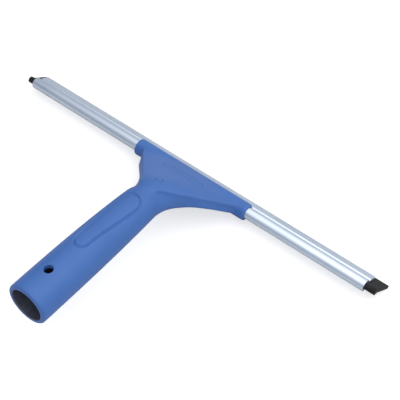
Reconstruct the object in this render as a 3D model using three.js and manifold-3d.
// Window cleaning squeegee: a moulded plastic handle, an aluminium blade channel and a rubber strip.
// Millimetres. +X runs along the blade, +Y from the pole socket to the blade, and +Z out of the top face.
// The origin is under the middle of the whole squeegee, at the height of the rubber's lowest edge.
import * as THREE from "three";
import { mergeVertices } from "three/addons/utils/BufferGeometryUtils.js";
import Module from "manifold-3d";

const wasm = await Module();
wasm.setup();

// Driving dimensions: the blade
const bladeLength = 305; // the channel, end to end
const bladeTilt = THREE.MathUtils.degToRad(32.7); // how far the blade dips below the handle's axis
const rubberOverhang = 7.3; // rubber past each end of the channel
const channelShift = -3.8; // the channel's middle, along X from the handle's
const rubberShift = 1.3; // the rubber's middle, along X from the channel's
const rubberBeadRadius = 2.5;
const lipThickness = 2.3;
const lipReach = 18.7; // bead axis to the rubber's working edge
const rubberClearance = 0.35; // between the rubber and the channel

// Driving dimensions: the channel's profile, from the axis of its bead
const beadRadius = 4.3;
const grooveHalf = 2.7; // half the thickness of the neck between bead and jaws
const grooveEnd = 5.4; // where the jaws' shoulders start
const shoulderReach = 6.1;
const shoulderHalf = 3.55;
const jawReach = 13.1;
const jawHalf = 4.1; // half the thickness of the jaws at their tips

// Driving dimensions: the handle
const headWidth = 100.4; // length of the sleeve that holds the channel
const sleeveWall = 1.8;
const sleeveEdge = 0.8; // bevel of the sleeve's ends
const slideClearance = 0.3; // between the channel and the sleeve
const handleReach = 164.7; // mouth to bead axis, along the handle's axis
const handleRise = 23.8; // handle axis above the bead axis
const mouthRadius = 15.5;
const mouthRounding = 1.6;
const neckToBead = 50; // end of the grip's taper to the bead axis
const neckRadius = 12.7;
const neckDrop = 1.3; // how far the grip's middle has sunk at the neck
const taperPower = 2.9; // the grip stays full behind and slims mostly near the neck
const socketRadius = 12; // at the mouth
const socketEndRadius = 10.5;
const socketDepth = 100;
const lockHoleRadius = 3.25;
const lockHoleFromMouth = 22.1;

// Driving dimensions: the head
const headBlendToBead = 56.4; // where the grip starts to spread into the head, to the bead axis
const lowerBlend = 36.7; // length over which the grip's underside becomes the head's
const upperBlend = 16; // the same for the grip's top
const fanLength = 53.4; // bead axis to the point where the two ridges meet
const ridgeInset = 4.3; // sleeve end to the ridge, at the bead axis
const ridgeFoot = 3.6; // height of the ridge over the bead axis, at the bead axis
const ridgeSlope = 0.655; // its rise per millimetre towards the grip
const ridgeDepth = 1; // least depth of the ridge below the crown
const topRounding = 6; // where the sloping top runs into the grip's top
const baseInset = 3.1; // sleeve end to the head's lower edge, at the bead axis
const baseSlope = 0.7; // how fast the lower edge draws in towards the grip
const baseRounding = 22; // where the lower edge runs into the grip's side
const edgeRise = 3; // height of the head's widest line above its underside
const edgeSquareness = 0.86; // 1 rounds the underside's edge as an ellipse, and less makes it squarer
const undersideTilt = THREE.MathUtils.degToRad(35.4);
const undersideRounding = 5; // where the sloping underside runs into the grip's
const pocketWall = 2.8; // wall over and round the pockets under the head
const pocketToNeck = 13; // solid plastic between the neck and the pockets
const ribThickness = 2.2;
const ribLeans = [-24, 0, 24]; // degrees, about a point behind the neck
const ribRootToNeck = 6;

// Driving dimensions: the thumb rest, an oval groove on top of the grip
const thumbLength = 58;
const thumbHalfWidth = 8.3;
const thumbNoseHalf = 5; // half its width near the end towards the mouth
const thumbToBead = 59.6; // front end of the oval to the bead axis
const thumbGrooveWidth = 1.3;
const thumbGrooveDepth = 0.7;

// Values that follow from the driving dimensions
const slotHalf = lipThickness / 2 + rubberClearance;
const hollowRadius = rubberBeadRadius + rubberClearance;
const cavityRadius = beadRadius + slideClearance;
const sleeveRadius = cavityRadius + sleeveWall;
const lipEnd = grooveEnd - slideClearance; // where the sleeve's two lips stop, short of the shoulders
const alongBlade = new THREE.Vector3(0, Math.cos(bladeTilt), -Math.sin(bladeTilt));
const outOfBlade = new THREE.Vector3(0, Math.sin(bladeTilt), Math.cos(bladeTilt));
const mouthY = -handleReach;
const neckY = -neckToBead;
const headBlendY = -headBlendToBead;
const gripTop = handleRise - neckDrop + neckRadius; // at the neck
const gripBottom = handleRise - neckDrop - neckRadius;
const hidden = 0.1; // how far the head's skin lies inside the sleeve's, where they run together
const leastRidge = 1;
const farOut = 2 * (handleRise + mouthRadius); // longer than any section is high

const degrees = (angle) => THREE.MathUtils.degToRad(angle);
const lerp = THREE.MathUtils.lerp;

// The lower of two heights, rounded over where they cross.
function softMin(a, b, rounding) {
  const h = THREE.MathUtils.clamp(0.5 + (b - a) / (2 * rounding), 0, 1);
  return lerp(b, a, h) - rounding * h * (1 - h);
}
const softMax = (a, b, rounding) => -softMin(-a, -b, rounding);

// Closed meshes and solids
function solid(geometry, matrix = new THREE.Matrix4()) {
  const shape = (geometry.index ? geometry.toNonIndexed() : geometry).clone();
  shape.deleteAttribute("normal");
  shape.deleteAttribute("uv");
  const merged = mergeVertices(shape.applyMatrix4(matrix), 1e-4);
  return new wasm.Manifold(
    new wasm.Mesh({
      numProp: 3,
      vertProperties: merged.attributes.position.array,
      triVerts: new Uint32Array(merged.index.array),
    }),
  );
}

function part(name, body, material) {
  const { vertProperties, triVerts } = body.getMesh();
  const geometry = new THREE.BufferGeometry()
    .setAttribute("position", new THREE.BufferAttribute(vertProperties, 3))
    .setIndex(new THREE.BufferAttribute(triVerts, 1));
  geometry.computeVertexNormals();
  const mesh = new THREE.Mesh(geometry, material);
  mesh.name = name;
  return mesh;
}

// A profile in the blade's own plane (x along the blade's reach, y out of its face), drawn out along X.
const bladeFrame = new THREE.Matrix4().makeBasis(alongBlade, outOfBlade, new THREE.Vector3(1, 0, 0));
function drawnOut(outline, length, middle = 0) {
  const options = { depth: length, bevelEnabled: false, curveSegments: 20 };
  const geometry = new THREE.ExtrudeGeometry(outline, options);
  geometry.translate(0, 0, middle - length / 2);
  return solid(geometry, bladeFrame);
}

// A body of closed rings of points, one ring at each y, with a flat cap at both ends.
function lofted(rings) {
  const count = rings[0].length;
  const positions = rings.flat().flatMap((p) => [p.x, p.y, p.z]);
  const index = [];
  rings.slice(1).forEach((_, row) => {
    for (let i = 0; i < count; i++) {
      const [a, b] = [row * count + i, row * count + ((i + 1) % count)];
      index.push(a, a + count, b, b, a + count, b + count);
    }
  });
  const last = (rings.length - 1) * count;
  for (let i = 1; i < count - 1; i++) index.push(0, i, i + 1, last, last + i + 1, last + i);
  const geometry = new THREE.BufferGeometry().setIndex(index);
  geometry.setAttribute("position", new THREE.Float32BufferAttribute(positions, 3));
  return solid(geometry);
}

// The grip at a y: its radius and the height of its middle. Its outer edge is rounded at the mouth.
function gripAt(y) {
  const taper = Math.max(0, (y - mouthY) / (neckY - mouthY)) ** taperPower;
  const past = Math.max(0, mouthY + mouthRounding - y);
  const rounded = mouthRounding - Math.sqrt(mouthRounding ** 2 - past ** 2);
  return { radius: lerp(mouthRadius, neckRadius, taper) - rounded, rise: handleRise - neckDrop * taper };
}

// One ring of the head. Its right half runs from the middle of the underside round the lower edge, up the
// side wall to the ridge, and over the crowned top. inset moves it inwards, for the pockets' walls, and
// then it is carried down through the underside.
const [underSteps, wallSteps, crownSteps] = [9, 5, 9];
function headHalfRing(y, inset) {
  const topPlane = (sleeveRadius - y * Math.sin(bladeTilt)) / Math.cos(bladeTilt);
  const top = softMin(gripTop, topPlane, topRounding) - inset;
  const bottomPlane = (-sleeveRadius - y * Math.sin(undersideTilt)) / Math.cos(undersideTilt);
  const sleeveBottom = -Math.sqrt(sleeveRadius ** 2 - Math.max(0, y) ** 2) + hidden;
  const bottom = Math.max(softMin(gripBottom, bottomPlane, undersideRounding), sleeveBottom) + inset;
  const ridgeHalf = headWidth / 2 - ridgeInset;
  const ridgeX = Math.max(ridgeHalf * (1 + y / fanLength) - inset, leastRidge);
  const ridgeZ = Math.min(ridgeFoot - ridgeSlope * y, gripTop - ridgeDepth) - inset;
  const baseHalf = headWidth / 2 - baseInset;
  const baseX = softMax(neckRadius, baseHalf + y * baseSlope, baseRounding) - inset;
  const baseZ = bottom + edgeRise;
  const drop = inset > 0 ? farOut : edgeRise;
  const points = [];
  for (let i = 0; i < underSteps; i++) {
    const a = (i / underSteps) * (Math.PI / 2);
    points.push([baseX * Math.sin(a) ** edgeSquareness, baseZ - drop * Math.cos(a) ** edgeSquareness]);
  }
  for (let i = 0; i < wallSteps; i++) {
    points.push([lerp(baseX, ridgeX, i / wallSteps), lerp(baseZ, ridgeZ, i / wallSteps)]);
  }
  for (let i = 0; i <= crownSteps; i++) {
    const across = 1 - i / crownSteps;
    points.push([ridgeX * across, lerp(top, ridgeZ, across ** 2)]);
  }
  return points;
}

// The grip's round ring, whose points match the head's one by one.
const [lowerEdgeAngle, ridgeAngle] = [-15, 50];
function roundHalfRing(y, inset) {
  const { radius, rise } = gripAt(y);
  const at = (angle) => [
    (radius - inset) * Math.cos(degrees(angle)),
    rise + (radius - inset) * Math.sin(degrees(angle)),
  ];
  const points = [];
  for (let i = 0; i < underSteps; i++) points.push(at(lerp(-90, lowerEdgeAngle, i / underSteps)));
  for (let i = 0; i < wallSteps; i++) points.push(at(lerp(lowerEdgeAngle, ridgeAngle, i / wallSteps)));
  for (let i = 0; i <= crownSteps; i++) points.push(at(lerp(ridgeAngle, 90, i / crownSteps)));
  return points;
}

function ring(y, inset = 0) {
  const lower = THREE.MathUtils.smoothstep(y, headBlendY, headBlendY + lowerBlend);
  const upper = THREE.MathUtils.smoothstep(y, headBlendY, headBlendY + upperBlend);
  const round = roundHalfRing(y, inset);
  const right = headHalfRing(y, inset).map(([x, z], i) => {
    const blend = lerp(lower, upper, THREE.MathUtils.clamp((i - underSteps) / wallSteps, 0, 1));
    return [lerp(round[i][0], x, blend), lerp(round[i][1], z, blend)];
  });
  const left = right.slice(1, -1).reverse().map(([x, z]) => [-x, z]);
  return [...right, ...left].map(([x, z]) => new THREE.Vector3(x, y, z));
}

// Where the rings stand
const stations = (from, to, count) => Array.from({ length: count + 1 }, (_, i) => lerp(from, to, i / count));

const mouthStations = stations(mouthY, mouthY + mouthRounding, 4);
const gripStations = stations(mouthY + mouthRounding, headBlendY, 12);
const headStations = stations(headBlendY, sleeveRadius * Math.sin(bladeTilt), 34);

// The blade channel: a hollow bead, a grooved neck and two jaws, with a slot between them for the rubber.
function channelOutline() {
  const outline = new THREE.Shape();
  const beadAngle = Math.asin(grooveHalf / beadRadius);
  const hollowAngle = Math.asin(slotHalf / hollowRadius);
  outline.moveTo(jawReach, jawHalf);
  outline.lineTo(shoulderReach, shoulderHalf);
  outline.lineTo(grooveEnd, grooveHalf);
  outline.absarc(0, 0, beadRadius, beadAngle, 2 * Math.PI - beadAngle, false);
  outline.lineTo(grooveEnd, -grooveHalf);
  outline.lineTo(shoulderReach, -shoulderHalf);
  outline.lineTo(jawReach, -jawHalf);
  outline.lineTo(jawReach, -slotHalf);
  outline.absarc(0, 0, hollowRadius, 2 * Math.PI - hollowAngle, hollowAngle, true);
  outline.lineTo(jawReach, slotHalf);
  return outline;
}

// The rubber strip: a round bead held in the channel's hollow, and a flat lip with square edges.
function rubberOutline() {
  const outline = new THREE.Shape();
  const rootAngle = Math.asin(lipThickness / 2 / rubberBeadRadius);
  outline.absarc(0, 0, rubberBeadRadius, rootAngle, 2 * Math.PI - rootAngle, false);
  outline.lineTo(lipReach, -lipThickness / 2);
  outline.lineTo(lipReach, lipThickness / 2);
  return outline;
}

// What the channel needs clear in the sleeve: its bead and neck, and all that lies past the sleeve's lips.
function sleeveCavity() {
  const clearHalf = grooveHalf + slideClearance;
  const angle = Math.asin(clearHalf / cavityRadius);
  const outline = new THREE.Shape();
  outline.absarc(0, 0, cavityRadius, angle, 2 * Math.PI - angle, false);
  outline.lineTo(lipEnd, -clearHalf);
  outline.lineTo(lipEnd, -farOut);
  outline.lineTo(farOut, -farOut);
  outline.lineTo(farOut, farOut);
  outline.lineTo(lipEnd, farOut);
  outline.lineTo(lipEnd, clearHalf);
  return drawnOut(outline, headWidth + farOut);
}

// The sleeve round the bead, with softened ends.
function sleeve() {
  const end = headWidth / 2;
  const profile = [
    [0, -end],
    [sleeveRadius - sleeveEdge, -end],
    [sleeveRadius, -end + sleeveEdge],
    [sleeveRadius, end - sleeveEdge],
    [sleeveRadius - sleeveEdge, end],
    [0, end],
  ].map(([r, x]) => new THREE.Vector2(r, x));
  return solid(new THREE.LatheGeometry(profile, 48), new THREE.Matrix4().makeRotationZ(-Math.PI / 2));
}

// The blind socket for an extension pole, tapered, with its axis on the grip's axis.
function socket() {
  const lead = 5;
  const profile = [
    [0, -lead],
    [socketRadius, -lead],
    [socketRadius, 0],
    [socketEndRadius, socketDepth],
    [0, socketDepth],
  ].map(([r, y]) => new THREE.Vector2(r, y));
  const place = new THREE.Matrix4().makeTranslation(0, mouthY, handleRise);
  return solid(new THREE.LatheGeometry(profile, 48), place);
}

// A round hole through the socket's top wall, for the sprung button of a pole.
function lockHole() {
  const drill = new THREE.CylinderGeometry(lockHoleRadius, lockHoleRadius, 2 * mouthRadius, 32);
  drill.rotateX(Math.PI / 2);
  drill.translate(0, mouthY + lockHoleFromMouth, handleRise + mouthRadius);
  return solid(drill);
}

// A long oval, round at the blade's end and narrower towards the mouth, drawn in plan.
function thumbOval(grow) {
  const front = -thumbToBead + grow;
  const back = -thumbToBead - thumbLength - grow;
  const half = thumbHalfWidth + grow;
  const noseHalf = thumbNoseHalf + grow;
  const frontCentre = front - half;
  const backCentre = back + noseHalf;
  const ease = (frontCentre - backCentre) / 3;
  const oval = new THREE.Path();
  oval.absarc(0, frontCentre, half, 0, Math.PI, false);
  oval.bezierCurveTo(-half, frontCentre - ease, -noseHalf, backCentre + ease, -noseHalf, backCentre);
  oval.absarc(0, backCentre, noseHalf, Math.PI, 2 * Math.PI, false);
  oval.bezierCurveTo(noseHalf, backCentre + ease, half, frontCentre - ease, half, frontCentre);
  return oval;
}

// The oval groove follows the grip: a walled oval, less the grip drawn in by the groove's depth.
function thumbGroove() {
  const outline = new THREE.Shape(thumbOval(thumbGrooveWidth / 2).getPoints(10));
  outline.holes.push(new THREE.Path(thumbOval(-thumbGrooveWidth / 2).getPoints(10)));
  const wall = new THREE.ExtrudeGeometry(outline, { depth: 2 * mouthRadius, bevelEnabled: false });
  wall.translate(0, 0, handleRise);
  const core = lofted(gripStations.map((y) => ring(y, thumbGrooveDepth)));
  return solid(wall).subtract(core);
}

// Pockets under the head keep its walls even, with a middle rib and two slanted ribs between them.
function headPockets() {
  const places = stations(neckY + pocketToNeck, -sleeveRadius - pocketWall, 12);
  const inner = lofted(places.map((y) => ring(y, pocketWall)));
  const ribs = ribLeans.map((lean) => {
    const rib = new THREE.BoxGeometry(ribThickness, 2 * handleReach, 2 * farOut);
    rib.rotateZ(degrees(-lean));
    rib.translate(0, neckY - ribRootToNeck, 0);
    return solid(rib);
  });
  return ribs.reduce((pocket, rib) => pocket.subtract(rib), inner);
}

function handleBody() {
  const places = [...mouthStations, ...gripStations.slice(1), ...headStations.slice(1)];
  const outside = lofted(places.map((y) => ring(y)));
  return [headPockets(), sleeveCavity(), socket(), lockHole(), thumbGroove()].reduce(
    (body, cut) => body.subtract(cut),
    outside.add(sleeve()),
  );
}

const bluePlastic = new THREE.MeshStandardMaterial({ color: 0x3f6fc4, roughness: 0.45, metalness: 0 });
const aluminium = new THREE.MeshStandardMaterial({ color: 0xc9cfd8, roughness: 0.3, metalness: 1 });
const blackRubber = new THREE.MeshStandardMaterial({ color: 0x1c1d20, roughness: 0.7, metalness: 0 });

const squeegee = new THREE.Group();
squeegee.add(part("handle", handleBody(), bluePlastic));
squeegee.add(part("channel", drawnOut(channelOutline(), bladeLength, channelShift), aluminium));
const rubberLength = bladeLength + 2 * rubberOverhang;
const rubberMiddle = channelShift + rubberShift;
squeegee.add(part("rubber", drawnOut(rubberOutline(), rubberLength, rubberMiddle), blackRubber));

// The squeegee stands with the rubber's middle at x = 0, its own middle from mouth to lip at y = 0, and the
// lip's lowest edge at z = 0.
const lipFront = lipReach * alongBlade.y + (lipThickness / 2) * outOfBlade.y;
const lipLow = lipReach * alongBlade.z - (lipThickness / 2) * outOfBlade.z;
squeegee.position.set(-rubberMiddle, (handleReach - lipFront) / 2, -lipLow);

export default squeegee;
